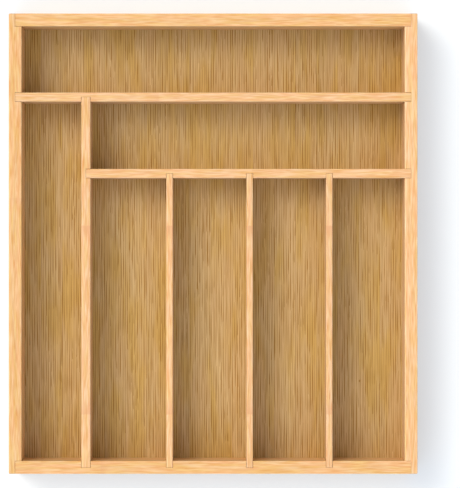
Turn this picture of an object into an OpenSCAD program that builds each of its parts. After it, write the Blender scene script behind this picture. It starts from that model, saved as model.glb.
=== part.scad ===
// Drawer organizer insert: a shallow bamboo tray for a cutlery or desk drawer.
// Four grooved rails carry the base panel and are joined by rabbets at the corners.
// Six dividers stand on the panel and end in housings cut into their neighbours, so that
// every top edge is flush with the rim.
// +X is to the right, +Y to the back of the drawer, +Z up. The origin is the centre of the
// tray's outline, on the surface that the pads stand on. Millimetres.

/* [Tray] */
// Width over the two side rails
tray_w = 380; // [335:1:470]
// Length from the front rail's outer face to the back rail's
tray_l = 428; // [340:1:500]
// Height of the rails, without the pads
rail_h = 50; // [32:1:80]
// Radius of the eased long edges of every board
edge_r = 1; // [0.4:0.1:1.5]

/* [Stock] */
// Thickness of the four outer rails
rail_t = 12; // [11:0.5:16]
// Thickness of the two cross dividers and the long divider
divider_t = 8.5; // [6:0.5:12]
// Thickness of the three column dividers
column_t = 6; // [4:0.5:9]
// Thickness of the base panel
panel_t = 4; // [3:0.5:6]

/* [Compartments] */
// Clear depth of the tray along the back rail
back_tray_d = 61.5; // [40:0.5:80]
// Clear depth of the tray in front of that one
second_tray_d = 62.5; // [40:0.5:80]
// Clear width of the long tray along the left rail
side_tray_w = 55.5; // [35:0.5:75]
// Clear widths of the first three columns from the left; the fourth has the rest
column_w = [70.5, 68.5, 68]; // [50:0.5:75]

/* [Joinery] */
// Height of the panel's underside above the rails' lower edge
panel_lift = 4; // [3:0.5:8]
// Depth of the panel groove in the rails
groove_d = 5; // [3:0.5:5]
// Room left for the panel to swell at each groove's bottom
panel_play = 0.5; // [0.2:0.1:1]
// Glue line on each side of a divider's housed end
glue_gap = 0.15; // [0.05:0.05:0.3]

/* [Hardware] */
// Diameter of a corner brad's shank
brad_d = 1.2; // [0.8:0.1:1.6]
// Diameter of a corner brad's flush head
brad_head_d = 2.2; // [1.8:0.1:3]
// Length of a corner brad, head included
brad_l = 25; // [15:1:35]
// Diameter of an anti-slip pad
pad_d = 9; // [6:0.5:9]
// Thickness of an anti-slip pad
pad_t = 1.5; // [0.8:0.1:3]
// Distance from a pad's centre to the end of its rail
pad_inset = 24; // [15:1:60]

/* [Hidden] */
$fn = 48;
CORNERS = [["back_left", -1, 1], ["back_right", 1, 1], ["front_left", -1, -1], ["front_right", 1, -1]];
LEVELS = [["lower", 0.28], ["upper", 0.72]];
COLUMNS = [0:len(column_w) - 1];
RAIL_COLOUR = "#F6C488";
DIVIDER_COLOUR = "#F8C893";
PANEL_COLOUR = "#BE945E";
STEEL_COLOUR = "#B4B8BC";
PAD_COLOUR = "#D9D9D4";

// Sharp corners of the cuts reach this far past a face, so that no skin is left
past = 1;
// How far half the frame reaches, outside and inside the rails
outer = [tray_w / 2, tray_l / 2];
inner = outer - [rail_t, rail_t];
// Heights above the surface that the pads stand on
rail_z = pad_t;
panel_z = rail_z + panel_lift;
floor_z = panel_z + panel_t;
rim_z = rail_z + rail_h;
divider_h = rim_z - floor_z;
// Depths of the housings and of the corner rabbets: half the board they are cut in
rail_housing = rail_t / 2;
divider_housing = divider_t / 2;
// Front faces of the cross dividers and left face of the long divider
upper_y = inner.y - back_tray_d - divider_t;
lower_y = upper_y - second_tray_d - divider_t;
long_x = side_tray_w - inner.x;
long_right_x = long_x + divider_t;
brad_head_t = brad_d * 0.6;

function column_name(i) = str("column_divider_", i + 1);
function pad_name(corner) = str("pad_", corner[0]);
function brad_name(corner, level) = str("brad_", corner[0], "_", level[0]);
// Total clear width of the first n columns
function clear_width(n) = n == 0 ? 0 : column_w[n - 1] + clear_width(n - 1);
// Left face of column divider i, counted from 0
function column_x(i) = long_right_x + clear_width(i + 1) + i * column_t;

// A board's cross-section with its four corners rounded
module eased_section(width, height) {
    translate([edge_r, 0])
        square([width - 2 * edge_r, height]);
    translate([0, edge_r])
        square([width, height - 2 * edge_r]);
    for (x = [edge_r, width - edge_r], y = [edge_r, height - edge_r])
        translate([x, y])
            circle(edge_r);
}

// A board along X from its lowest corner, with eased long edges
module board_x(corner, size) {
    translate(corner)
        rotate([90, 0, 90])
            linear_extrude(size.x)
                eased_section(size.y, size.z);
}

// A board along Y from its lowest corner, with eased long edges
module board_y(corner, size) {
    translate(corner + [0, size.y, 0])
        rotate([90, 0, 0])
            linear_extrude(size.y)
                eased_section(size.x, size.z);
}

// A square-edged block between two opposite corners, for cuts
module block(low, high) {
    translate(low)
        cube(high - low);
}

// A housing down to the floor, for a divider's end that spans low to high in plan
module housing(low, high) {
    block([low.x, low.y, floor_z], [high.x, high.y, rim_z + past]);
}

// Everything inside the frame's outline, with its end edges and upright corners eased
module frame_outline() {
    intersection() {
        translate([-outer.x, -outer.y, rail_z])
            linear_extrude(rail_h)
                eased_section(tray_w, tray_l);
        board_x([-outer.x, -outer.y, rail_z], [tray_w, tray_l, rail_h]);
    }
}

// One headed brad through a side rail's lip into the end of a cross rail
module brad(corner, level) {
    mirror([corner[1] < 0 ? 1 : 0, 0, 0])
        translate([outer.x, corner[2] * (outer.y - rail_t / 2), rail_z + level[1] * rail_h])
            rotate([0, -90, 0]) {
                cylinder(h = brad_head_t, d = brad_head_d);
                cylinder(h = brad_l, d = brad_d);
            }
}

// Holes for the brads
module brad_holes() {
    for (c = CORNERS, v = LEVELS)
        brad(c, v);
}

// A rail along Y: side is 1 for the right and -1 for the left. housing_ys are the front
// faces of the cross dividers that it holds.
module side_rail(side, housing_ys) {
    difference() {
        mirror([side < 0 ? 1 : 0, 0, 0])
            difference() {
                intersection() {
                    board_y([inner.x, -outer.y, rail_z], [rail_t, tray_l, rail_h]);
                    frame_outline();
                }
                block([inner.x - past, -inner.y, panel_z], [inner.x + groove_d, inner.y, floor_z]);
                for (end = [-1, 1])
                    corner_rabbet(end);
                for (y = housing_ys)
                    housing([inner.x - past, y - glue_gap],
                            [inner.x + rail_housing, y + divider_t + glue_gap]);
            }
        brad_holes();
    }
}

// The step at a right-hand rail's end that the cross rail sits in
module corner_rabbet(end) {
    mirror([0, end < 0 ? 1 : 0, 0])
        block([inner.x - past, inner.y, rail_z - past],
              [inner.x + rail_housing, outer.y + past, rim_z + past]);
}

// A rail along X: end is 1 for the back and -1 for the front. Its ends fill the rabbets.
module cross_rail(end) {
    difference() {
        mirror([0, end < 0 ? 1 : 0, 0])
            difference() {
                board_x([-inner.x - rail_housing, inner.y, rail_z],
                        [2 * (inner.x + rail_housing), rail_t, rail_h]);
                block([-outer.x, inner.y - past, panel_z], [outer.x, inner.y + groove_d, floor_z]);
            }
        brad_holes();
    }
}

module left_rail() {
    color(RAIL_COLOUR)
        side_rail(-1, [upper_y]);
}

module right_rail() {
    color(RAIL_COLOUR)
        side_rail(1, [upper_y, lower_y]);
}

module back_rail() {
    color(RAIL_COLOUR)
        cross_rail(1);
}

module front_rail() {
    color(RAIL_COLOUR)
        difference() {
            cross_rail(-1);
            front_housing(long_x, divider_t);
            for (i = COLUMNS)
                front_housing(column_x(i), column_t);
        }
}

// The housing in the front rail for a divider with its left face at x
module front_housing(x, thickness) {
    housing([x - glue_gap, -inner.y - rail_housing], [x + thickness + glue_gap, -inner.y + past]);
}

// The full-width divider behind the columns' tray, housed in both side rails
module upper_cross_divider() {
    length = 2 * (inner.x + rail_housing);
    color(DIVIDER_COLOUR)
        difference() {
            board_x([-length / 2, upper_y, floor_z], [length, divider_t, divider_h]);
            housing([long_x - glue_gap, upper_y - past],
                    [long_right_x + glue_gap, upper_y + divider_housing]);
        }
}

// The divider behind the columns, housed in the long divider and the right rail
module lower_cross_divider() {
    left = long_right_x - divider_housing;
    color(DIVIDER_COLOUR)
        difference() {
            board_x([left, lower_y, floor_z], [inner.x + rail_housing - left, divider_t, divider_h]);
            for (i = COLUMNS)
                housing([column_x(i) - glue_gap, lower_y - past],
                        [column_x(i) + column_t + glue_gap, lower_y + divider_housing]);
        }
}

// The divider beside the side tray, housed in the front rail and the upper cross divider
module long_divider() {
    front = -inner.y - rail_housing;
    color(DIVIDER_COLOUR)
        difference() {
            board_y([long_x, front, floor_z], [divider_t, upper_y + divider_housing - front, divider_h]);
            housing([long_right_x - divider_housing, lower_y - glue_gap],
                    [long_right_x + past, lower_y + divider_t + glue_gap]);
        }
}

// A thin divider between two columns, housed in the front rail and the lower cross divider
module column_divider(i) {
    front = -inner.y - rail_housing;
    color(DIVIDER_COLOUR)
        board_y([column_x(i), front, floor_z], [column_t, lower_y + divider_housing - front, divider_h]);
}

// The floor of every compartment, held in the rails' grooves
module base_panel() {
    reach = inner + [groove_d - panel_play, groove_d - panel_play];
    color(PANEL_COLOUR)
        block([-reach.x, -reach.y, panel_z], [reach.x, reach.y, floor_z]);
}

// A round anti-slip pad under a side rail, near its end
module pad(corner) {
    color(PAD_COLOUR)
        translate([corner[1] * (outer.x - rail_t / 2), corner[2] * (outer.y - pad_inset), 0])
            cylinder(h = pad_t, d = pad_d);
}

left_rail();
right_rail();
back_rail();
front_rail();
upper_cross_divider();
lower_cross_divider();
long_divider();
for (i = COLUMNS)
    column_divider(i);
base_panel();
for (c = CORNERS)
    pad(c);
for (c = CORNERS, v = LEVELS)
    color(STEEL_COLOUR) brad(c, v);
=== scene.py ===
"""Looks of the drawer organizer insert: bamboo boards, base panel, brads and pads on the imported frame.

Every board is cut from plain stock by its neighbours' own places in the frame, then eased and dressed.
"""

import logging
import math
from collections.abc import Iterable
from dataclasses import dataclass, field, replace
from enum import Enum

import bmesh
import bpy
from mathutils import Matrix, Vector


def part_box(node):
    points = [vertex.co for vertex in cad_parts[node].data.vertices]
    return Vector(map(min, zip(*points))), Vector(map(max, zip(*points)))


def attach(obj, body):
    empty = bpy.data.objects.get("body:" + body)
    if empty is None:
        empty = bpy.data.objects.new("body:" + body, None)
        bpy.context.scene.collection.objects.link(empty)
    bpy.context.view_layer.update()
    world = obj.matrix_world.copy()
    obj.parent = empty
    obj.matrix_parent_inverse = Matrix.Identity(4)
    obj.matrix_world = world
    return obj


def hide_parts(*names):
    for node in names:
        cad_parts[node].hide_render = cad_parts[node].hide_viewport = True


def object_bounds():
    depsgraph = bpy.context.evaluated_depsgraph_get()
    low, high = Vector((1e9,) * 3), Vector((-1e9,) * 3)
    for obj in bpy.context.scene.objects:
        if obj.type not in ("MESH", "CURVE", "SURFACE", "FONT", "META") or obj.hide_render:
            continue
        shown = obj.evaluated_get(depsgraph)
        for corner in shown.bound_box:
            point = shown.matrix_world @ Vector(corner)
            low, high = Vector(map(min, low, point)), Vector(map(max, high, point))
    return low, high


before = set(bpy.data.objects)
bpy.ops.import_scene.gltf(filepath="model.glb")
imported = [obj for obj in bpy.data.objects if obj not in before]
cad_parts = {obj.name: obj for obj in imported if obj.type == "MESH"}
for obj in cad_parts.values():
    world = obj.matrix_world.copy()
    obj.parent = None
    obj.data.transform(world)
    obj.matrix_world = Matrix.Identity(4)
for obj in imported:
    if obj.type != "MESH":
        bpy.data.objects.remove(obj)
CAD_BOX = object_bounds()

LOG = logging.getLogger("drawer_insert")
MM = 0.001
BODY = "root"
EASING = "easing"
# Places closer than this count as one
TOUCH = 0.01 * MM
# Pattern cells start this far outside a board, so that no face lies on a cell's edge
OFF_GRID = 0.13 * MM
# Edges that bend less than the first aren't corners, and those that bend less than the second are smooth
CORNER_ANGLE = math.radians(30)
SHARP_ANGLE = math.radians(40)
COLUMNS = tuple(f"column_divider_{n}" for n in (1, 2, 3))

Colour = tuple[float, float, float]
Box = tuple[Vector, Vector]
Span = tuple[float, float]
Value = bpy.types.NodeSocket | float | Colour


class Grain(Enum):
    """The row axis that a board's fibres run along."""

    X = 0
    Y = 1

    @property
    def across(self) -> int:
        """The index of the level axis that crosses the fibres."""
        return 1 - self.value


class Layer(Enum):
    """Which of a rail's glued layers a growth ring shows in."""

    BOTTOM = 0
    MIDDLE = 1
    TOP = 2


class NodeGraph:
    """A node tree, and short ways to add nodes to it."""

    def __init__(self, tree: bpy.types.NodeTree) -> None:
        """Takes over an empty tree.

        Args:
            tree: the tree.
        """
        self.tree = tree
        self.tree.nodes.clear()

    def feed(self, socket: bpy.types.NodeSocket, value: Value) -> None:
        """Links a socket to an input, or sets a plain value on it.

        Args:
            socket: the input.
            value: an output socket, a number or a colour.
        """
        if isinstance(value, bpy.types.NodeSocket):
            self.tree.links.new(value, socket)
        elif isinstance(value, tuple) and socket.type == "RGBA":
            socket.default_value = (*value, 1.0)
        else:
            socket.default_value = value

    def node(self, kind: str, inputs: dict[str | int, Value], **settings: object) -> bpy.types.Node:
        """Adds a node.

        Args:
            kind: the node's type without its ShaderNode prefix.
            inputs: a value for each named or numbered input.
            settings: the node's own properties.

        Returns:
            The new node.
        """
        made = self.tree.nodes.new("ShaderNode" + kind)
        for key, setting in settings.items():
            setattr(made, key, setting)
        for key, value in inputs.items():
            self.feed(made.inputs[key], value)
        return made

    def maths(self, operation: str, *values: Value) -> bpy.types.NodeSocket:
        """The result of a Math node on up to three values."""
        return self.node("Math", dict(enumerate(values)), operation=operation).outputs[0]

    def scaled(self, value: Value, factor: Value, plus: Value = 0.0) -> bpy.types.NodeSocket:
        """A value times a factor, plus another value."""
        return self.maths("MULTIPLY_ADD", value, factor, plus)

    def step(self, value: Value, low: Value, high: Value, to: Span = (0.0, 1.0)) -> bpy.types.NodeSocket:
        """A smooth step.

        Args:
            value: what is measured.
            low: where the step starts.
            high: where it ends.
            to: what the step gives at its start and end.

        Returns:
            A socket that goes smoothly between the two ends of to.
        """
        inputs = {"Value": value, "From Min": low, "From Max": high, "To Min": to[0], "To Max": to[1]}
        return self.node("MapRange", inputs, interpolation_type="SMOOTHSTEP").outputs["Result"]

    def mix(self, factor: Value, a: Value, b: Value, blend: str = "MIX") -> bpy.types.NodeSocket:
        """Mixes two colours.

        Args:
            factor: how much of b there is.
            a: the first colour.
            b: the second colour.
            blend: the node's way of blending.

        Returns:
            The mixed colour.
        """
        made = self.node("Mix", {}, data_type="RGBA", blend_type=blend)
        self.feed(made.inputs[0], factor)
        self.feed(made.inputs[6], a)
        self.feed(made.inputs[7], b)
        return made.outputs[2]

    def times(self, colour: Value, factor: Value) -> bpy.types.NodeSocket:
        """A colour made brighter or darker by a factor."""
        return self.mix(1.0, colour, self.vector(factor, factor, factor), "MULTIPLY")

    def vector(self, x: Value, y: Value, z: Value) -> bpy.types.NodeSocket:
        """Three values as one vector."""
        return self.node("CombineXYZ", {"X": x, "Y": y, "Z": z}).outputs[0]

    def split(self, vector: Value) -> bpy.types.NodeOutputs:
        """A vector's three components."""
        return self.node("SeparateXYZ", {"Vector": vector}).outputs

    def noise(self, x: Value, y: Value, z: Value, detail: float = 2.0, roughness: float = 0.5) -> bpy.types.NodeSocket:
        """Perlin noise round 0.5, one cell to a unit."""
        inputs = {"Vector": self.vector(x, y, z), "Scale": 1.0, "Detail": detail, "Roughness": roughness}
        return self.node("TexNoise", inputs, noise_dimensions="3D").outputs[0]

    def chances(self, x: Value, y: Value, z: Value) -> list[bpy.types.NodeSocket]:
        """Three even random values for each different place."""
        made = self.node("TexWhiteNoise", {"Vector": self.vector(x, y, z)}, noise_dimensions="3D")
        return list(self.node("SeparateColor", {"Color": made.outputs["Color"]}).outputs)


class MaterialGraph(NodeGraph):
    """A new material with a Principled shader."""

    def __init__(self, name: str) -> None:
        """Makes the material.

        Args:
            name: the material's name.
        """
        self.material = bpy.data.materials.new(name)
        self.material.use_nodes = True
        super().__init__(self.material.node_tree)
        output = self.tree.nodes.new("ShaderNodeOutputMaterial")
        self.shader = self.tree.nodes.new("ShaderNodeBsdfPrincipled")
        self.tree.links.new(self.shader.outputs[0], output.inputs["Surface"])

    def place(self) -> bpy.types.NodeSocket:
        """The place in the piece's own frame, which is the whole object's frame."""
        return self.node("TexCoord", {}).outputs["Object"]

    def finish(self, colour: Value, roughness: Value, **plain: float | tuple) -> None:
        """Feeds the shader.

        Args:
            colour: the base colour.
            roughness: the roughness.
            plain: other inputs, with spaces as underscores, that are the same all over.
        """
        self.feed(self.shader.inputs["Base Color"], colour)
        self.feed(self.shader.inputs["Roughness"], roughness)
        for name, value in plain.items():
            self.shader.inputs[name.replace("_", " ")].default_value = value

    def bump(self, height: Value, depth: float, strength: float) -> None:
        """Gives the shader a bump from a height between 0 and 1, depth metres deep."""
        inputs = {"Height": height, "Distance": depth, "Strength": strength}
        self.feed(self.shader.inputs["Normal"], self.node("Bump", inputs).outputs[0])


@dataclass(frozen=True)
class Ring:
    """A culm's growth ring across a strip: a darker band that starts sharply and fades out.

    A fade below zero runs the other way. start is how sharply it starts, ragged how far the fibres move
    its edge, and faintest the share of its strength where it shows least.
    """

    at: float
    layer: Layer = Layer.TOP
    fade: float = 15 * MM
    strength: float = 0.8
    start: float = 0.8 * MM
    ragged: float = 3 * MM
    faintest: float = 0.55


@dataclass(frozen=True)
class Knot:
    """A small scar where a branch left the culm: squeeze stretches it along the fibres, ragged breaks its edge."""

    x: float
    y: float
    radius: float
    strength: float
    squeeze: float = 0.6
    ragged: float = 1.6


@dataclass(frozen=True)
class Sheet:
    """Where a shading point lies on one face of a board.

    run is the place along the fibres, side the place across them on that face, face the face's own
    number and seed the board's.
    """

    run: Value
    side: Value
    face: Value
    seed: float


@dataclass(frozen=True)
class Strokes:
    """Thin dark lines drawn along the fibres in pieces, one line to each cell across them.

    share is how many pieces show, scatter how far the cells' pieces are shifted against each other, sweep
    how far slow noise moves them together, start how much of a piece it takes to darken, and rest how dark
    it still is at its ends. pick is this set's own random number. pace is how many pieces a line has to each
    usual length, at least and at most, sweep_cell the slow noise's length and width, lull how much still
    shows where that noise is low, and faintest how dark the palest piece is.
    """

    pitch: float
    width: float
    length: float
    share: float
    contrast: float
    scatter: float
    sweep: float
    start: float
    rest: float
    pick: float
    pace: Span = (0.7, 1.3)
    sweep_cell: Span = (110 * MM, 11 * MM)
    lull: float = 0.25
    faintest: float = 0.3

    def drawn(self, g: NodeGraph, sheet: Sheet) -> bpy.types.NodeSocket:
        """How dark the strokes are.

        Args:
            g: the material's graph.
            sheet: the face's places.

        Returns:
            A value from 0 to the strokes' contrast.
        """
        cell = g.scaled(sheet.side, 1 / self.pitch, self.pick)
        line = g.maths("FLOOR", cell)
        own = g.chances(line, sheet.face, sheet.seed + self.pick)
        least, most = (pieces / self.length for pieces in self.pace)
        pace = g.scaled(own[1], most - least, least)
        place = g.scaled(own[0], self.scatter, g.maths("MULTIPLY", sheet.run, pace))
        shown = self.contrast
        if self.sweep:
            wide = (g.maths("DIVIDE", a, b) for a, b in zip((sheet.run, sheet.side), self.sweep_cell))
            group = g.noise(*wide, sheet.face, detail=1.0)
            place = g.scaled(group, self.sweep, place)
            shown = g.step(group, 0.42, 0.6, (self.lull * self.contrast, self.contrast))
        own = g.chances(g.maths("FLOOR", place), line, g.scaled(sheet.face, 1.7, sheet.seed + self.pick))
        part = g.maths("FRACT", place)
        rise, fall = g.step(part, 0.0, self.start, (self.rest, 1.0)), g.step(part, 0.4, 1.0, (1.0, self.rest))
        shape = g.maths("MULTIPLY", rise, fall)
        shape = g.maths("MULTIPLY", shape, self._core(g, cell, own[2]))
        shown = g.maths("MULTIPLY", shown, g.maths("LESS_THAN", own[0], self.share))
        return g.maths("MULTIPLY", g.maths("MULTIPLY", shape, shown),
                       g.scaled(own[1], 1 - self.faintest, self.faintest))

    def _core(self, g: NodeGraph, cell: Value, own: Value) -> bpy.types.NodeSocket:
        """1 in the middle of a cell's dark line and 0 beside it; own moves the line in its cell."""
        middle = g.maths("SUBTRACT", g.maths("FRACT", cell), g.scaled(own, 0.4, 0.3))
        width = self.width / self.pitch
        return g.step(g.maths("ABSOLUTE", middle), 0.15 * width, 0.65 * width, (1.0, 0.0))


@dataclass(frozen=True)
class BambooFinish:
    """Clear-finished laminated bamboo. Sizes are in metres, and colours are linear.

    Each _cell is the length and width of a noise's cells. strip_shift moves a strip's pattern along it,
    drift_stretch is how much longer the rosy patches are than the golden ones, and bend how far the fibres
    wander sideways.
    """

    pale: Colour
    golden: Colour
    rosy: Colour
    fibre: Colour
    ring: Colour
    strokes: tuple[Strokes, ...]
    strip_width: float
    strip_height: float
    hair_width: float
    hair_length: float
    hair_contrast: float
    patch_cell: Span
    patch_contrast: float = 0.2
    drift_stretch: float = 1.6
    fine_cell: Span = (9 * MM, 0.4 * MM)
    fine_contrast: float = 0.16
    bend_cell: Span = (95 * MM, 14 * MM)
    bend: float = 1.6 * MM
    strip_shift: float = 2.7
    # Painted shade colour: upright faces get a cooler, less saturated tint than the tops
    painted_wall_shade_tint: Colour = (1.0, 1.09, 1.23)
    tone_spread: float = 0.06
    glue_line: float = 0.35 * MM
    glue_tone: float = 0.88
    end_grain: float = 0.62
    end_pore: float = 1.1 * MM
    # How much lighter the eased edges are painted, a painted highlight along them
    painted_edge_highlight: float = 0.16
    roughness: float = 0.48
    relief: float = 0.12 * MM
    coat: float = 0.1

    def material(self, name: str, box: Box, grain: Grain, seed: int, rings: Iterable[Ring],
                 knots: Iterable[Knot], tone: float) -> bpy.types.Material:
        """The material of one board.

        Args:
            name: the material's name.
            box: the board's box.
            grain: the axis that the fibres run along.
            seed: picks this board's own strips and fibres.
            rings: the growth rings that show on it.
            knots: the branch scars that show on it.
            tone: how bright this board is beside the others.

        Returns:
            A procedural material.
        """
        g = MaterialGraph(name)
        axes = g.split(g.place())
        normal = g.split(g.node("TexCoord", {}).outputs["Normal"])
        along = axes[grain.value]
        across = g.maths("SUBTRACT", axes[grain.across], box[0][grain.across] - OFF_GRID)
        height = g.maths("SUBTRACT", axes[2], box[0].z - OFF_GRID)

        column = g.maths("FLOOR", g.maths("DIVIDE", across, self.strip_width))
        row = g.maths("FLOOR", g.maths("DIVIDE", height, self.strip_height))
        chance = g.chances(column, row, float(seed))
        run = g.scaled(chance[0], self.strip_shift, along)
        bend = g.noise(*self._cells(g, run, across, height, self.bend_cell), detail=1.0)
        side = g.scaled(g.maths("SUBTRACT", bend, 0.5), self.bend, across)

        upright = g.maths("ROUND", g.maths("ABSOLUTE", normal[grain.across]))
        face = g.scaled(g.maths("ROUND", normal[2]), 3.0, g.maths("ROUND", normal[grain.across]))
        sheet = Sheet(run, g.scaled(g.maths("SUBTRACT", height, side), upright, side), face, float(seed))
        fine = g.noise(*self._cells(g, run, side, height, self.fine_cell), roughness=0.6)
        patches = g.noise(*self._cells(g, run, side, height, self.patch_cell))
        drift_cell = (self.drift_stretch * self.patch_cell[0], self.patch_cell[1])
        drift = g.noise(*self._cells(g, run, height, side, drift_cell), detail=1.0)

        colour = g.mix(g.step(patches, 0.36, 0.64), self.pale, self.golden)
        colour = g.mix(g.step(drift, 0.44, 0.68, (0.0, 0.8)), colour, self.rosy)
        dark = self._fibres(g, sheet)
        colour = g.mix(dark, colour, self.fibre)
        for knot in knots:
            colour = self._knot(g, colour, axes, grain, knot, fine)
        for ring in rings:
            colour = self._ring(g, colour, along, row, ring, fine, patches)

        tones = self._around(g, chance[1], self.tone_spread, tone)
        for factor in (
            self._around(g, fine, self.fine_contrast),
            self._around(g, drift, self.patch_contrast),
            self._glue(g, across, self.strip_width),
            self._glue(g, height, self.strip_height),
        ):
            tones = g.maths("MULTIPLY", tones, factor)
        # Painted shade colour: upright faces are tinted cooler and less saturated than the tops, standing in for the
        # cool light in the walls' shade
        colour = g.mix(upright, colour, g.mix(1.0, colour, self.painted_wall_shade_tint, "MULTIPLY"))
        colour = self._end_grain(g, g.times(colour, tones), normal[grain.value], side, height)
        # Painted highlight: the eased long edges are made lighter, standing in for the bright lines that light makes
        # along them
        eased = g.node("Attribute", {}, attribute_name=EASING).outputs["Fac"]
        colour = g.times(colour, g.scaled(eased, self.painted_edge_highlight, 1.0))

        rough = g.scaled(fine, 0.16, g.scaled(dark, 0.1, self.roughness - 0.1))
        g.finish(colour, rough, Coat_Weight=self.coat, Coat_Roughness=0.35, Specular_IOR_Level=0.35)
        g.bump(g.scaled(dark, -0.6, g.maths("MULTIPLY", fine, 0.5)), self.relief, 0.5)
        return g.material

    @staticmethod
    def _cells(g: NodeGraph, run: Value, side: Value, height: Value, cell: Span) -> tuple[bpy.types.NodeSocket, ...]:
        """Three coordinates that make noise cells of a length and width."""
        length, width = cell
        return (g.maths("DIVIDE", run, length), g.maths("DIVIDE", side, width), g.maths("DIVIDE", height, width))

    @staticmethod
    def _around(g: NodeGraph, value: Value, spread: float, middle: float = 1.0) -> bpy.types.NodeSocket:
        """A value between 0 and 1 spread evenly round a middle."""
        return g.scaled(value, spread, middle - spread / 2)

    def _fibres(self, g: NodeGraph, sheet: Sheet) -> bpy.types.NodeSocket:
        """How dark the hairs and all the strokes are together, up to 1.

        Args:
            g: the material's graph.
            sheet: the face's places.

        Returns:
            How much of the fibres' colour shows.
        """
        dark = g.maths("MULTIPLY", self._hairs(g, sheet), self.hair_contrast)
        for strokes in self.strokes:
            dark = g.maths("ADD", strokes.drawn(g, sheet), dark)
        return g.maths("MINIMUM", dark, 1.0)

    def _hairs(self, g: NodeGraph, sheet: Sheet) -> bpy.types.NodeSocket:
        """The finest fibre lines, side by side.

        Args:
            g: the material's graph.
            sheet: the face's places.

        Returns:
            How dark they are, 0 to 1: each line swells and fades along its length in its own way.
        """
        line = g.maths("FLOOR", g.maths("DIVIDE", sheet.side, self.hair_width))
        key = g.scaled(line, 3.7, g.scaled(sheet.face, 11.3, sheet.seed))
        tone = g.noise(g.maths("DIVIDE", sheet.run, self.hair_length), key, 0.0, detail=1.0)
        return g.step(tone, 0.26, 0.74)

    def _glue(self, g: NodeGraph, across: Value, pitch: float) -> bpy.types.NodeSocket:
        """The glue between strips.

        Args:
            g: the material's graph.
            across: the place across the strips.
            pitch: a strip's width.

        Returns:
            A value just under 1 on a glue line, and 1 elsewhere.
        """
        from_line = g.maths("PINGPONG", g.maths("SUBTRACT", across, OFF_GRID), pitch)
        from_line = g.maths("MINIMUM", from_line, g.maths("SUBTRACT", pitch, from_line))
        return g.step(from_line, 0.0, self.glue_line, (self.glue_tone, 1.0))

    def _ring(self, g: NodeGraph, colour: Value, along: Value, row: Value, ring: Ring, fine: Value,
              patches: Value) -> bpy.types.NodeSocket:
        """A growth ring over a colour.

        Args:
            g: the material's graph.
            colour: the colour without it.
            along: the place along the fibres.
            row: the number of the strip's layer.
            ring: the ring.
            fine: noise that makes its edge ragged.
            patches: noise that makes it uneven.

        Returns:
            The colour with it.
        """
        way = math.copysign(1.0, ring.fade)
        away = g.scaled(along, way, -way * ring.at)
        away = g.scaled(g.maths("SUBTRACT", fine, 0.5), ring.ragged, away)
        band = g.maths("MULTIPLY", g.step(away, 0.0, ring.start), g.step(away, 0.0, abs(ring.fade), (1.0, 0.0)))
        here = g.maths("COMPARE", row, float(ring.layer.value), 0.4)
        mottle = g.maths("MULTIPLY", g.maths("ADD", patches, fine), 0.5)
        uneven = g.step(mottle, 0.4, 0.56, (ring.faintest * ring.strength, ring.strength))
        return g.mix(g.maths("MULTIPLY", g.maths("MULTIPLY", band, here), uneven), colour, self.ring)

    def _knot(self, g: NodeGraph, colour: Value, axes: bpy.types.NodeOutputs, grain: Grain, knot: Knot,
              fine: Value) -> bpy.types.NodeSocket:
        """A branch scar over a colour.

        Args:
            g: the material's graph.
            colour: the colour without it.
            axes: the place in the object's frame.
            grain: the axis that the fibres run along.
            knot: the scar.
            fine: noise that breaks it up.

        Returns:
            The colour with it.
        """
        dx = g.scaled(g.maths("SUBTRACT", axes[0], knot.x), knot.squeeze if grain is Grain.X else 1.0)
        dy = g.scaled(g.maths("SUBTRACT", axes[1], knot.y), knot.squeeze if grain is Grain.Y else 1.0)
        reach = g.maths("SQRT", g.scaled(dx, dx, g.maths("MULTIPLY", dy, dy)))
        reach = g.scaled(g.maths("SUBTRACT", fine, 0.5), knot.radius * knot.ragged, reach)
        share = g.step(reach, knot.radius * 0.2, knot.radius, (knot.strength, 0.0))
        return g.mix(share, colour, self.fibre)

    def _end_grain(self, g: MaterialGraph, colour: Value, facing: Value, side: Value,
                   height: Value) -> bpy.types.NodeSocket:
        """Darker, dotted wood on the faces that cut the fibres across.

        Args:
            g: the material's graph.
            colour: the long grain's colour.
            facing: how far the face's normal runs along the fibres.
            side: the place across the fibres.
            height: the place up the board.

        Returns:
            The colour with end grain on those faces.
        """
        facing = g.step(g.maths("ABSOLUTE", facing), 0.6, 0.85)
        dots = g.node("TexVoronoi", {"Vector": g.vector(side, height, 0.0), "Scale": 1 / self.end_pore})
        pores = g.step(dots.outputs["Distance"], 0.1, 0.42, (self.end_grain * 0.72, self.end_grain * 1.12))
        return g.mix(facing, colour, g.times(colour, pores))


@dataclass(frozen=True)
class SteelFinish:
    """Bright drawn steel with fine scratches."""

    colour: Colour = (0.62, 0.61, 0.59)
    roughness: float = 0.32
    scratch: tuple[float, float, float] = (3.0 * MM, 0.2 * MM, 0.2 * MM)
    relief: float = 0.02 * MM

    def material(self, name: str) -> bpy.types.Material:
        """The steel's material.

        Args:
            name: the material's name.

        Returns:
            A procedural material.
        """
        g = MaterialGraph(name)
        places = (g.maths("DIVIDE", axis, size) for axis, size in zip(g.split(g.place()), self.scratch))
        scratches = g.noise(*places, detail=3.0, roughness=0.6)
        colour = g.times(self.colour, g.scaled(scratches, -0.36, 1.1))
        g.finish(colour, g.scaled(scratches, 0.25, self.roughness - 0.1), Metallic=1.0)
        g.bump(scratches, self.relief, 0.4)
        return g.material


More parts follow.
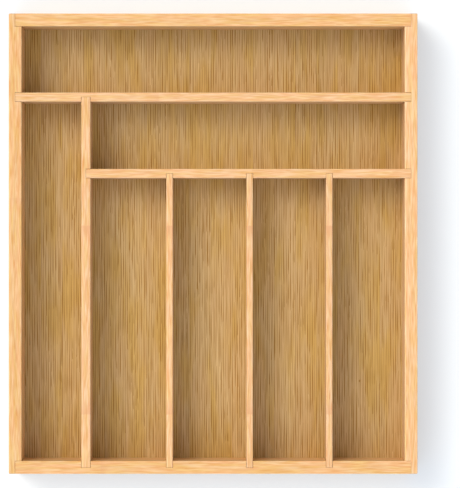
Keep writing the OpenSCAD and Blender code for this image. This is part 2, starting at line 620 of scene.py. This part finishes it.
@dataclass(frozen=True)
class RubberFinish:
    """Soft pale grey rubber with a fine moulded grain."""

    colour: Colour = (0.5, 0.5, 0.48)
    roughness: float = 0.7
    pore: float = 0.35 * MM
    dust: float = 3 * MM
    relief: float = 0.05 * MM

    def material(self, name: str) -> bpy.types.Material:
        """The rubber's material.

        Args:
            name: the material's name.

        Returns:
            A procedural material.
        """
        g = MaterialGraph(name)
        place = g.place()
        pores = g.node("TexVoronoi", {"Vector": place, "Scale": 1 / self.pore}).outputs["Distance"]
        dust = g.noise(*(g.maths("DIVIDE", axis, self.dust) for axis in g.split(place)))
        g.finish(g.times(self.colour, g.scaled(dust, -0.3, 1.15)), g.scaled(dust, 0.2, self.roughness - 0.1))
        g.bump(pores, self.relief, 0.5)
        return g.material


@dataclass(frozen=True)
class TableFinish:
    """A matt white table top of frosted glass, lit a little from below."""

    colour: Colour = (0.645, 0.685, 0.72)
    cloudiness: float = 0.01
    glow: float = 0.255
    glow_colour: Colour = (0.98, 1.0, 1.03)

    def material(self) -> bpy.types.Material:
        """The table top's material.

        Returns:
            A procedural material.
        """
        g = MaterialGraph("table_top")
        cloud = g.noise(*g.split(g.place()))
        colour = g.times(self.colour, g.scaled(cloud, self.cloudiness, 1 - self.cloudiness / 2))
        g.finish(colour, 0.9, Specular_IOR_Level=0.1, Emission_Color=(*self.glow_colour, 1.0),
                 Emission_Strength=self.glow)
        return g.material


def overlap(a: Box, b: Box) -> Box | None:
    """The box that two boxes share, or None."""
    low = Vector(map(max, a[0], b[0]))
    high = Vector(map(min, a[1], b[1]))
    return (low, high) if all(h - l > TOUCH for l, h in zip(low, high)) else None


def put_in_scene(name: str, mesh: bpy.types.Mesh) -> bpy.types.Object:
    """A new object of a mesh, linked to the scene."""
    made = bpy.data.objects.new(name, mesh)
    bpy.context.scene.collection.objects.link(made)
    return made


def mesh_from(name: str, bm: bmesh.types.BMesh) -> bpy.types.Mesh:
    """Makes a smooth-shaded mesh of a bmesh.

    Args:
        name: the mesh's name.
        bm: the bmesh, which is freed.

    Returns:
        The mesh.
    """
    bmesh.ops.recalc_face_normals(bm, faces=bm.faces)
    mesh = bpy.data.meshes.new(name)
    bm.to_mesh(mesh)
    bm.free()
    mesh.shade_smooth()
    return mesh


def apply_modifiers(piece: bpy.types.Object) -> None:
    """Replaces a piece's mesh with what its modifiers make of it.

    Args:
        piece: the piece.
    """
    graph = bpy.context.evaluated_depsgraph_get()
    before = piece.data
    piece.data = bpy.data.meshes.new_from_object(piece.evaluated_get(graph), depsgraph=graph)
    piece.data.name = before.name
    piece.modifiers.clear()
    bpy.data.meshes.remove(before)


def turned(name: str, outline: list[Span], segments: int) -> bpy.types.Mesh:
    """A solid of revolution round Z.

    Args:
        name: the mesh's name.
        outline: (radius, height) points from the lower pole to the upper one.
        segments: how many sides it has.

    Returns:
        A closed mesh.
    """
    bm = bmesh.new()
    circles = []
    for radius, height in outline:
        if radius == 0:
            circles.append([bm.verts.new((0, 0, height))] * segments)
            continue
        angles = (2 * math.pi * i / segments for i in range(segments))
        circles.append([bm.verts.new((radius * math.cos(a), radius * math.sin(a), height)) for a in angles])
    for lower, upper in zip(circles, circles[1:]):
        for i in range(segments):
            j = (i + 1) % segments
            corners = dict.fromkeys((lower[i], lower[j], upper[j], upper[i]))
            bm.faces.new(tuple(corners))
    return mesh_from(name, bm)


@dataclass
class CarvedBlock:
    """A block less the boxes that are cut from it, as one closed mesh of flat faces."""

    box: Box
    cuts: list[Box]

    def build(self) -> bmesh.types.BMesh:
        """Builds it on a grid of cells between all the cuts' planes.

        Returns:
            A bmesh with flat faces merged.
        """
        planes = [self._planes(axis) for axis in range(3)]
        cells = {
            (i, j, k)
            for i in range(len(planes[0]) - 1)
            for j in range(len(planes[1]) - 1)
            for k in range(len(planes[2]) - 1)
            if not self._removed(planes, (i, j, k))
        }
        bm = bmesh.new()
        points: dict[tuple[int, int, int], bmesh.types.BMVert] = {}
        for cell in sorted(cells):
            for axis in range(3):
                for side in (0, 1):
                    beside = tuple(c + (2 * side - 1) * (n == axis) for n, c in enumerate(cell))
                    if beside not in cells:
                        self._face(bm, points, planes, cell, axis, side)
        bmesh.ops.dissolve_limit(bm, angle_limit=math.radians(1), verts=bm.verts, edges=bm.edges)
        bmesh.ops.recalc_face_normals(bm, faces=bm.faces)
        return bm

    def _planes(self, axis: int) -> list[float]:
        """The block's and the cuts' planes across an axis, in order."""
        low, high = self.box[0][axis], self.box[1][axis]
        inside = {round(v, 7) for cut in self.cuts for v in (cut[0][axis], cut[1][axis]) if low < v < high}
        return sorted(inside | {round(low, 7), round(high, 7)})

    def _removed(self, planes: list[list[float]], cell: tuple[int, int, int]) -> bool:
        """True if the cell's middle is inside a cut."""
        middle = [(planes[n][c] + planes[n][c + 1]) / 2 for n, c in enumerate(cell)]
        return any(all(lo < m < hi for lo, m, hi in zip(cut[0], middle, cut[1])) for cut in self.cuts)

    @staticmethod
    def _face(bm: bmesh.types.BMesh, points: dict, planes: list[list[float]], cell: tuple[int, int, int],
              axis: int, side: int) -> None:
        """Adds one side of a cell.

        Args:
            bm: the mesh that it is added to.
            points: the mesh's points so far, by their places on the grid.
            planes: the grid's planes across each axis.
            cell: the cell's place on the grid.
            axis: the axis that the side faces along.
            side: 0 for its lower end and 1 for its upper one.
        """
        u, v = (n for n in range(3) if n != axis)
        corners = []
        for du, dv in ((0, 0), (1, 0), (1, 1), (0, 1)):
            at = list(cell)
            at[axis] += side
            at[u] += du
            at[v] += dv
            key = tuple(at)
            if key not in points:
                points[key] = bm.verts.new([planes[n][i] for n, i in enumerate(key)])
            corners.append(points[key])
        bm.faces.new(corners)


@dataclass
class Board:
    """One bamboo board, cut wherever a neighbour that it holds enters it.

    eased is its long edges' radius, crisp that of its other outer edges, and bit a closed mesh of its
    fasteners' holes.
    """

    node: str
    grain: Grain
    finish: BambooFinish
    slot: str
    holds: tuple[str, ...] = ()
    rings: tuple[Ring, ...] = ()
    knots: tuple[Knot, ...] = ()
    tone: float = 1.0
    seed: int = 1
    glue_gap: float = 0.12 * MM
    eased: float = 1.0 * MM
    crisp: float = 0.2 * MM
    easing_steps: int = 4
    bit: bpy.types.Object | None = None
    piece: bpy.types.Object | None = field(init=False, default=None)

    def build(self) -> "Board":
        """Cuts, eases and drills the board's mesh.

        Returns:
            The board itself.
        """
        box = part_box(self.node)
        bm = CarvedBlock(box, [c for c in map(self._cut_for, self.holds) if c]).build()
        self._weigh_edges(bm, box)
        self.piece = put_in_scene(self.node + "_board", mesh_from(self.node + "_board", bm))
        self._round_edges()
        self._mark_easing(box)
        if self.bit:
            self._drill()
        self._flatten_faces()
        return self

    def dress(self) -> "Board":
        """Gives the board its material and body, and hides its CAD node.

        Returns:
            The board itself.
        """
        name = f"bamboo_{self.node}"
        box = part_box(self.node)
        material = self.finish.material(name, box, self.grain, self.seed, self.rings, self.knots, self.tone)
        self.piece.data.materials.clear()
        self.piece.data.materials.append(material)
        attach(self.piece, BODY)
        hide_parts(self.node)
        LOG.info("%s: %d faces", self.piece.name, len(self.piece.data.polygons))
        return self

    def _cut_for(self, neighbour: str) -> Box | None:
        """What is cut away for a neighbour's end or edge.

        Args:
            neighbour: the node that enters this board.

        Returns:
            Their shared box with room for glue, run out past this board's faces, or None.
        """
        mine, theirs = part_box(self.node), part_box(neighbour)
        shared = overlap(mine, theirs)
        if shared is None:
            return None
        low, high = (corner.copy() for corner in shared)
        for n in range(3):
            open_below = abs(low[n] - mine[0][n]) < TOUCH
            open_above = abs(high[n] - mine[1][n]) < TOUCH
            low[n] -= MM if open_below else self.glue_gap
            high[n] += MM if open_above else self.glue_gap
        return low, high

    def _weigh_edges(self, bm: bmesh.types.BMesh, box: Box) -> None:
        """Marks the long edges and the frame's own edges for easing, and the other outer edges as crisp.

        Args:
            bm: the board.
            box: its box.
        """
        weight = bm.edges.layers.float.new("bevel_weight_edge")
        for edge in bm.edges:
            if edge.calc_face_angle_signed(0.0) < CORNER_ANGLE:
                continue
            ends = [v.co for v in edge.verts]
            along = max(range(3), key=lambda n: abs(ends[0][n] - ends[1][n]))
            others = [n for n in range(3) if n != along]
            long_edge = along == self.grain.value and all(self._on(ends[0][n], box, n) for n in others)
            frame_edge = all(self._on(ends[0][n], CAD_BOX, n) or self._at_rim(ends[0], n, box) for n in others)
            edge[weight] = 1.0 if long_edge or frame_edge else self.crisp / self.eased

    @staticmethod
    def _on(value: float, box: Box, axis: int) -> bool:
        """True if a coordinate lies on a face of a box."""
        return min(abs(value - box[0][axis]), abs(value - box[1][axis])) < TOUCH

    def _at_rim(self, point: Vector, axis: int, box: Box) -> bool:
        """True if a height is the board's own top or bottom."""
        return axis == 2 and self._on(point.z, box, 2)

    def _round_edges(self) -> None:
        """Rounds the marked edges, each by its own weight."""
        bevel = self.piece.modifiers.new("easing", "BEVEL")
        bevel.limit_method = "WEIGHT"
        bevel.width = self.eased
        bevel.segments = self.easing_steps
        bevel.use_clamp_overlap = True
        apply_modifiers(self.piece)

    def _mark_easing(self, box: Box) -> None:
        """Stores how far each point lies round an eased long edge, which places the painted edge highlight.

        Args:
            box: the board's box.
        """
        mesh = self.piece.data
        marks = mesh.attributes.new(EASING, "FLOAT", "POINT")
        across = (self.grain.across, 2)
        for vertex, mark in zip(mesh.vertices, marks.data):
            near = [min(vertex.co[n] - box[0][n], box[1][n] - vertex.co[n]) / self.eased for n in across]
            mark.value = 2 * (1 - near[0]) * (1 - near[1]) if max(near) < 1 else 0.0

    def _drill(self) -> None:
        """Cuts the fasteners' holes."""
        hole = self.piece.modifiers.new("hole", "BOOLEAN")
        hole.operation = "DIFFERENCE"
        hole.solver = "EXACT"
        hole.object = self.bit
        apply_modifiers(self.piece)

    def _flatten_faces(self) -> None:
        """Keeps wide faces flat beside their rounded edges, and square edges sharp."""
        self.piece.data.shade_smooth()
        self.piece.data.set_sharp_from_angle(angle=SHARP_ANGLE)
        normals = self.piece.modifiers.new("flat_faces", "WEIGHTED_NORMAL")
        normals.weight = 100
        normals.keep_sharp = True
        apply_modifiers(self.piece)


FEATHERS = Strokes(pitch=2.0 * MM, width=0.7 * MM, length=15 * MM, share=0.35, contrast=0.45, scatter=0.55,
                   sweep=6.6, start=0.06, rest=0.0, pick=0.75)
THREADS = Strokes(pitch=2.2 * MM, width=0.85 * MM, length=42 * MM, share=1.0, contrast=1.08, scatter=7.0,
                  sweep=0.0, start=0.25, rest=0.4, pick=0.25)
RAIL_BAMBOO = BambooFinish(
    pale=(0.80, 0.54, 0.278),
    golden=(0.78, 0.505, 0.19),
    rosy=(0.79, 0.48, 0.247),
    fibre=(0.60, 0.215, 0.025),
    ring=(0.68, 0.345, 0.165),
    strokes=(FEATHERS,),
    strip_width=30 * MM,
    strip_height=16.75 * MM,
    hair_width=0.8 * MM,
    hair_length=17 * MM,
    hair_contrast=0.55,
    patch_cell=(24 * MM, 3 * MM),
)
DIVIDER_BAMBOO = replace(RAIL_BAMBOO, pale=(0.805, 0.56, 0.325), golden=(0.78, 0.523, 0.232), rosy=(0.79, 0.497, 0.285))
PANEL_BAMBOO = BambooFinish(
    pale=(0.568, 0.387, 0.168),
    golden=(0.535, 0.339, 0.09),
    rosy=(0.524, 0.343, 0.15),
    fibre=(0.277, 0.127, 0.001),
    ring=(0.36, 0.19, 0.07),
    strokes=(THREADS, replace(FEATHERS, contrast=0.7)),
    strip_width=20 * MM,
    strip_height=30 * MM,
    hair_width=0.75 * MM,
    hair_length=36 * MM,
    hair_contrast=0.31,
    patch_cell=(60 * MM, 14 * MM),
)


@dataclass
class RailFrame:
    """The four outer rails, rabbeted at the corners and grooved for the panel."""

    side_ends: tuple[str, ...] = ("back_rail", "front_rail", "base_panel")

    def boards(self, bits: dict[str, bpy.types.Object]) -> list[Board]:
        """The rails as boards.

        Args:
            bits: the drill bit for each rail's brads.

        Returns:
            The left, right, back and front rails.
        """
        rail = {"finish": RAIL_BAMBOO, "slot": "bamboo_rail"}
        return [
            Board("left_rail", Grain.Y, holds=(*self.side_ends, "upper_cross_divider"), tone=1.01, seed=3,
                  rings=(Ring(0.043, fade=-12 * MM, strength=0.4), Ring(-0.12, Layer.MIDDLE)),
                  bit=bits["left"], **rail),
            Board("right_rail", Grain.Y, DIVIDER_BAMBOO, "bamboo_rail", tone=1.06, seed=8,
                  holds=(*self.side_ends, "upper_cross_divider", "lower_cross_divider"),
                  rings=(Ring(0.09, Layer.MIDDLE), Ring(-0.07, Layer.BOTTOM)), bit=bits["right"]),
            Board("back_rail", Grain.X, holds=("base_panel",), tone=0.985, seed=12,
                  rings=(Ring(0.02, Layer.MIDDLE), Ring(-0.11, Layer.BOTTOM)), bit=bits["back"], **rail),
            Board("front_rail", Grain.X, holds=("base_panel", "long_divider", *COLUMNS), tone=0.985, seed=17,
                  rings=(Ring(-0.105, fade=8 * MM, strength=0.5), Ring(0.06, Layer.MIDDLE)),
                  bit=bits["front"], **rail),
        ]


@dataclass
class Dividers:
    """The two cross dividers, the long divider and the three column dividers."""

    upper_ring: float = 17 * MM
    lower_ring: float = -159 * MM

    def boards(self) -> list[Board]:
        """The dividers as boards.

        Returns:
            The two cross dividers, the long one and the thin ones.
        """
        divider = {"finish": DIVIDER_BAMBOO, "slot": "bamboo_divider"}
        rings = (Ring(self.upper_ring, fade=-18 * MM), Ring(self.lower_ring, fade=18 * MM))
        made = [
            Board("upper_cross_divider", Grain.X, holds=("long_divider",), seed=21,
                  rings=(Ring(-0.05, fade=-12 * MM, strength=0.5),), **divider),
            Board("lower_cross_divider", Grain.X, holds=COLUMNS, seed=26, **divider),
            Board("long_divider", Grain.Y, holds=("lower_cross_divider",), seed=31, rings=rings, **divider),
        ]
        made += [Board(name, Grain.Y, seed=36 + 5 * n, rings=rings, **divider) for n, name in enumerate(COLUMNS)]
        return made


@dataclass
class BasePanel:
    """The one board that is the floor of every compartment."""

    eased: float = 0.4 * MM
    knots: tuple[Knot, ...] = (
        Knot(137.8 * MM, -129.5 * MM, 1.1 * MM, 0.95),
        Knot(147 * MM, -124 * MM, 7 * MM, 0.22),
        Knot(91 * MM, -152 * MM, 6 * MM, 0.25),
        Knot(-80 * MM, -132 * MM, 7 * MM, 0.2),
        Knot(-139 * MM, -133 * MM, 8 * MM, 0.22),
        Knot(-165 * MM, -150 * MM, 5 * MM, 0.3),
    )

    def boards(self) -> list[Board]:
        """The panel as a board."""
        return [Board("base_panel", Grain.Y, PANEL_BAMBOO, "bamboo_panel", seed=51, knots=self.knots,
                      eased=self.eased)]


@dataclass
class CornerBrads:
    """Two flush steel brads through each corner joint."""

    shank_radius: float = 0.6 * MM
    head_radius: float = 1.1 * MM
    head_thickness: float = 0.72 * MM
    crown: float = 0.12 * MM
    room: float = 0.08 * MM
    sides: int = 24
    finish: SteelFinish = SteelFinish()
    pieces: list[bpy.types.Object] = field(default_factory=list)

    def nodes(self) -> list[str]:
        """The brads' CAD nodes."""
        return sorted(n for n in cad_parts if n.startswith("brad_"))

    def bits(self) -> dict[str, bpy.types.Object]:
        """Drill bits for the brads' holes.

        Returns:
            For each rail, by its first word, one hidden bit for all the brads that enter it.
        """
        found = {}
        for rail in ("left", "right", "back", "front"):
            bm = bmesh.new()
            for node in (n for n in self.nodes() if rail in n):
                mesh = self._mesh(node, self.room, 2 * self.room)
                bm.from_mesh(mesh)
                bpy.data.meshes.remove(mesh)
            found[rail] = put_in_scene(f"bit_{rail}", mesh_from(f"bit_{rail}", bm))
        return found

    def build(self) -> "CornerBrads":
        """Makes the brads.

        Returns:
            The brads themselves.
        """
        self.pieces = [put_in_scene(node + "_pin", self._mesh(node, 0.0, 0.0)) for node in self.nodes()]
        return self

    def dress(self) -> "CornerBrads":
        """Gives the brads their steel and body, and hides their CAD nodes.

        Returns:
            The brads themselves.
        """
        steel = self.finish.material("brad_steel")
        for node, piece in zip(self.nodes(), self.pieces):
            piece.data.materials.append(steel)
            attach(piece, BODY)
            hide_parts(node)
            LOG.info("%s: %d faces", piece.name, len(piece.data.polygons))
        return self

    def _mesh(self, node: str, wider: float, longer: float) -> bpy.types.Mesh:
        """One brad along its node's box, head outwards.

        Args:
            node: the brad's CAD node.
            wider: what is added to its radii.
            longer: what is added at its two ends.

        Returns:
            Its mesh.
        """
        low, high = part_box(node)
        length = high.x - low.x
        head, shank = self.head_radius + wider, self.shank_radius + wider
        outline = [
            (0.0, -longer), (head * 0.6, -longer), (head * 0.9, self.crown - longer), (head, 2 * self.crown - longer),
            (head, self.head_thickness), (shank, self.head_thickness), (shank, length - 2 * shank),
            (shank * 0.3, length + longer), (0.0, length + longer),
        ]
        mesh = turned(node, outline, self.sides)
        middle = (low + high) / 2
        side = 1 if middle.x > 0 else -1
        start = Vector((high.x if side > 0 else low.x, middle.y, middle.z))
        mesh.transform(Matrix.Translation(start) @ Matrix.Rotation(-side * math.pi / 2, 4, "Y"))
        return mesh


@dataclass
class Pads:
    """Four round anti-slip pads under the side rails.

    Each face has a round dip, with dip_floor and dip_rim as its radii in shares of the pad's.
    """

    soft: float = 0.35 * MM
    dip: float = 0.15 * MM
    dip_floor: float = 0.55
    dip_rim: float = 0.6
    sides: int = 48
    finish: RubberFinish = RubberFinish()
    pieces: list[bpy.types.Object] = field(default_factory=list)

    def nodes(self) -> list[str]:
        """The pads' CAD nodes."""
        return sorted(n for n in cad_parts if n.startswith("pad_"))

    def build(self) -> "Pads":
        """Makes the pads, each with a rounded lower edge.

        Returns:
            The pads themselves.
        """
        for node in self.nodes():
            low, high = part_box(node)
            radius, thickness = (high.x - low.x) / 2, high.z - low.z
            arc = [math.pi / 2 * n / 4 for n in range(5)]
            lower = [(radius - self.soft + self.soft * math.sin(a), self.soft - self.soft * math.cos(a)) for a in arc]
            face = [(0.0, self.dip), (radius * self.dip_floor, self.dip), (radius * self.dip_rim, 0.0)]
            mesh = turned(node + "_foot", [*face, *lower, (radius, thickness), (0.0, thickness)], self.sides)
            middle = (low + high) / 2
            mesh.transform(Matrix.Translation((middle.x, middle.y, low.z)))
            self.pieces.append(put_in_scene(node + "_foot", mesh))
        return self

    def dress(self) -> "Pads":
        """Gives the pads their rubber and body, and hides their CAD nodes.

        Returns:
            The pads themselves.
        """
        rubber = self.finish.material("pad_rubber")
        for node, piece in zip(self.nodes(), self.pieces):
            piece.data.materials.append(rubber)
            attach(piece, BODY)
            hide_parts(node)
            LOG.info("%s: %d faces", piece.name, len(piece.data.polygons))
        return self


@dataclass(frozen=True)
class Lobe:
    """A soft patch of light on the dome: its direction and half width in degrees, and its strength."""

    azimuth: float
    elevation: float
    spread: float
    strength: float


@dataclass
class Dome:
    """A dark dome with a key light at the back left, broad fills round it and a bright horizon.

    key_edge is how much of the key's strength gives a direction the key's colour.
    """

    key: Lobe = Lobe(141, 48.5, 12.5, 8.8)
    fills: tuple[Lobe, ...] = (
        Lobe(270, 43, 22, 1.35),
        Lobe(225, 43, 22, 0.79),
        Lobe(315, 43, 22, 0.51),
        Lobe(45, 43, 22, 0.6),
        Lobe(0, 68, 22, 0.44),
        Lobe(225, 18, 22, 0.25),
    )
    horizon: float = 0.95
    horizon_height: float = 0.1
    key_edge: float = 0.25
    key_colour: Colour = (1.08, 0.99, 0.87)
    fill_colour: Colour = (0.95, 0.99, 1.06)

    def build(self) -> bpy.types.World:
        """Makes the world.

        Returns:
            A world whose strength and colour depend on the direction alone.
        """
        world = bpy.data.worlds.new("studio_dome")
        world.use_nodes = True
        g = NodeGraph(world.node_tree)
        ray = g.node("VectorMath", {0: g.node("TexCoord", {}).outputs["Generated"]}, operation="NORMALIZE").outputs[0]
        up = g.split(ray)[2]
        strength = g.step(g.maths("ABSOLUTE", up), self.horizon_height / 2, self.horizon_height, (self.horizon, 0.0))
        for lobe in (self.key, *self.fills):
            strength = g.scaled(self._glow_of(g, ray, lobe), lobe.strength, strength)
        keyed = g.step(self._glow_of(g, ray, self.key), 0.0, self.key_edge)
        colour = g.mix(keyed, self.fill_colour, self.key_colour)
        background = g.node("Background", {"Color": colour, "Strength": strength})
        output = g.tree.nodes.new("ShaderNodeOutputWorld")
        g.feed(output.inputs["Surface"], background.outputs[0])
        return world

    @staticmethod
    def _glow_of(g: NodeGraph, ray: Value, lobe: Lobe) -> bpy.types.NodeSocket:
        """1 in the middle of a lobe, falling smoothly to 0 round it.

        Args:
            g: the world's graph.
            ray: the direction looked in.
            lobe: the lobe.

        Returns:
            How much of the lobe's strength shows in that direction.
        """
        elevation, azimuth = math.radians(lobe.elevation), math.radians(lobe.azimuth)
        level = math.cos(elevation)
        towards = (level * math.cos(azimuth), level * math.sin(azimuth), math.sin(elevation))
        aligned = g.node("VectorMath", {0: ray, 1: towards}, operation="DOT_PRODUCT").outputs["Value"]
        return g.maths("EXPONENT", g.scaled(g.maths("SUBTRACT", aligned, 1.0), math.radians(lobe.spread) ** -2))


@dataclass
class Studio:
    """The camera straight above the tray, the dome of light, and a white table.

    lens and sensor are the camera's, in millimetres.
    """

    axis_x: float = 15.66 * MM
    axis_y: float = -0.3 * MM
    above_rim: float = 2.668
    lens: float = 211.8
    sensor: float = 36.0
    far: float = 200.0
    table_radius: float = 60.0
    table_sides: int = 64
    dome: Dome = field(default_factory=Dome)

    def build(self) -> None:
        """Makes the camera, the dome and the table."""
        scene = bpy.context.scene
        scene.view_settings.view_transform = "Standard"
        scene.world = self.dome.build()
        self._camera(scene)
        self._table()

    def _camera(self, scene: bpy.types.Scene) -> None:
        """Looks straight down, with the back of the tray at the top of the picture.

        Args:
            scene: the scene that gets the camera.
        """
        data = bpy.data.cameras.new("camera")
        data.lens = self.lens
        data.sensor_width = self.sensor
        data.clip_end = self.far
        made = bpy.data.objects.new("camera", data)
        made.location = (self.axis_x, self.axis_y, CAD_BOX[1].z + self.above_rim)
        scene.collection.objects.link(made)
        scene.camera = made

    def _table(self) -> None:
        """A wide round table top at the pads' lower faces."""
        bm = bmesh.new()
        bmesh.ops.create_circle(bm, cap_ends=True, radius=self.table_radius, segments=self.table_sides)
        table = put_in_scene("table", mesh_from("table", bm))
        table.location.z = CAD_BOX[0].z
        table.data.materials.append(TableFinish().material())


def main() -> None:
    """Builds and dresses every sub-assembly, then the studio."""
    logging.basicConfig(level=logging.INFO, format="%(name)s: %(message)s")
    Studio().build()
    brads = CornerBrads()
    bits = brads.bits()
    boards = [*RailFrame().boards(bits), *Dividers().boards(), *BasePanel().boards()]
    for board in boards:
        board.build().dress()
    for bit in bits.values():
        bpy.data.objects.remove(bit)
    brads.build().dress()
    Pads().build().dress()


if __name__ == "__main__":
    main()
